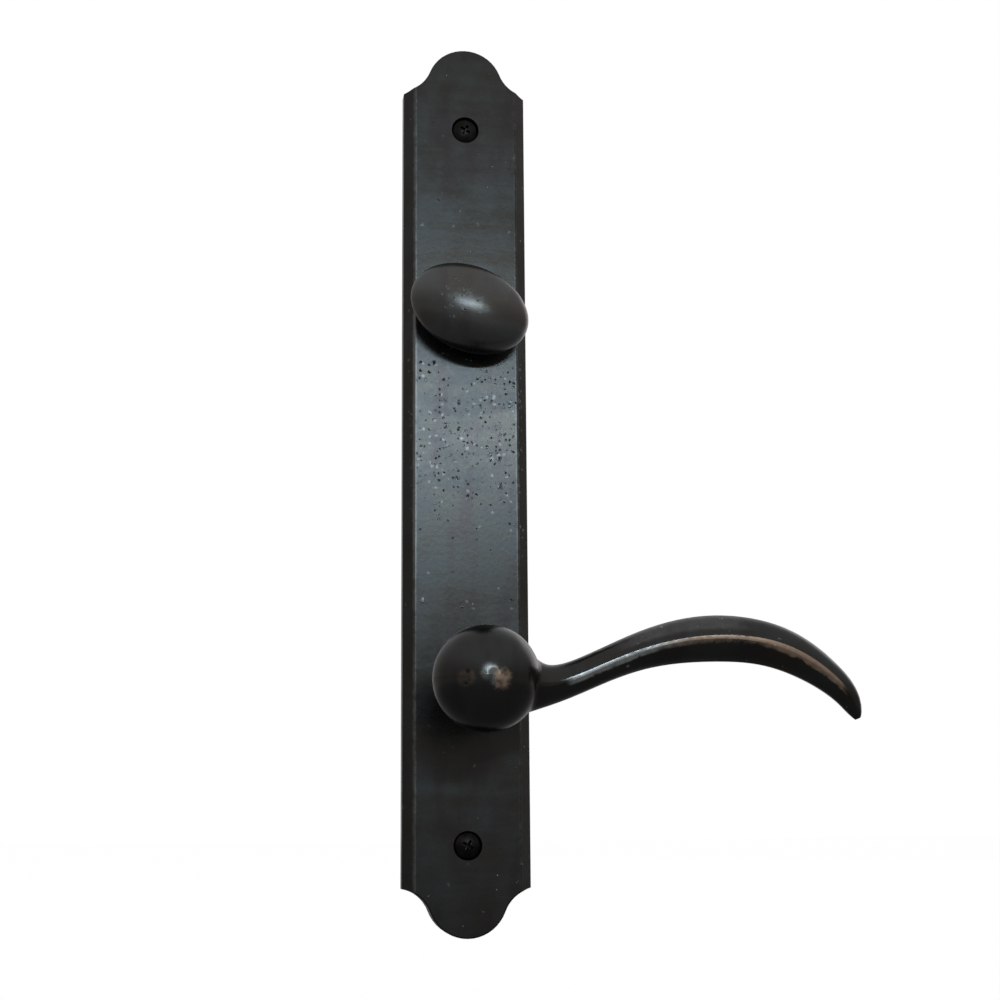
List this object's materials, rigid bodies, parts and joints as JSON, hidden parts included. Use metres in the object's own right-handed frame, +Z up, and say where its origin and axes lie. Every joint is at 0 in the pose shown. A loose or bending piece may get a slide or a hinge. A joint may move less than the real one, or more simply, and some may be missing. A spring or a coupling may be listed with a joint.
{
  "type": "patio door handle set",
  "caption": "Tall escutcheon plate with ogee ends, a sprung S-curve lever on a ball hub and an egg-shaped thumb turn, in dark distressed bronze.",
  "frame": {"origin": "where the lever spindle's axis meets the door's face, in the plane of the plate's back rim", "axes": "+X along the lever, away from its ball; +Y into the door; +Z up the door, along the plate"},
  "size_m": [0.1252, 0.1144, 0.273],
  "materials": {
    "bronze_plate": "dark oil-rubbed bronze, distressed and pitted",
    "bronze_lever": "dark oil-rubbed bronze, worn to copper on the ridge",
    "bronze_turn": "dark oil-rubbed bronze, pitted",
    "screw_steel": "blackened steel",
    "zinc_steel": "zinc-plated",
    "spring_steel": "oiled spring steel",
    "nylon": "black nylon"
  },
  "bodies": {
    "plate": {"escutcheon_plate": "bronze_plate", "lever_bush": "nylon", "lever_face_washer": "nylon", "turn_bush": "nylon", "turn_face_washer": "nylon", "lever_return_spring": "spring_steel", "mounting_screws": "screw_steel"},
    "lever": {"lever_handle": "bronze_lever", "lever_spindle": "zinc_steel", "spindle_set_screw": "screw_steel", "return_cam": "zinc_steel", "lever_spring_washer": "spring_steel", "lever_retaining_ring": "spring_steel"},
    "turn": {"thumb_turn": "bronze_turn", "turn_tailpiece": "zinc_steel", "tailpiece_pin": "zinc_steel", "turn_thrust_washer": "zinc_steel", "turn_spring_washer": "spring_steel", "turn_retaining_ring": "spring_steel"}
  },
  "joints": [
    {"name": "lever_turn", "type": "hinge", "parent": "plate", "child": "lever", "pos_m": [0, 0, 0], "axis": [0, 1, 0], "range_deg": [-45, 45], "stiffness_Nm_per_rad": 1.5, "springref_deg": -2.01, "deforming": ["lever_return_spring"]},
    {"name": "thumb_turn", "type": "hinge", "parent": "plate", "child": "turn", "pos_m": [0, 0, 0.1137], "axis": [0, 1, 0], "range_deg": [-21.7, 68.3]}
  ]
}
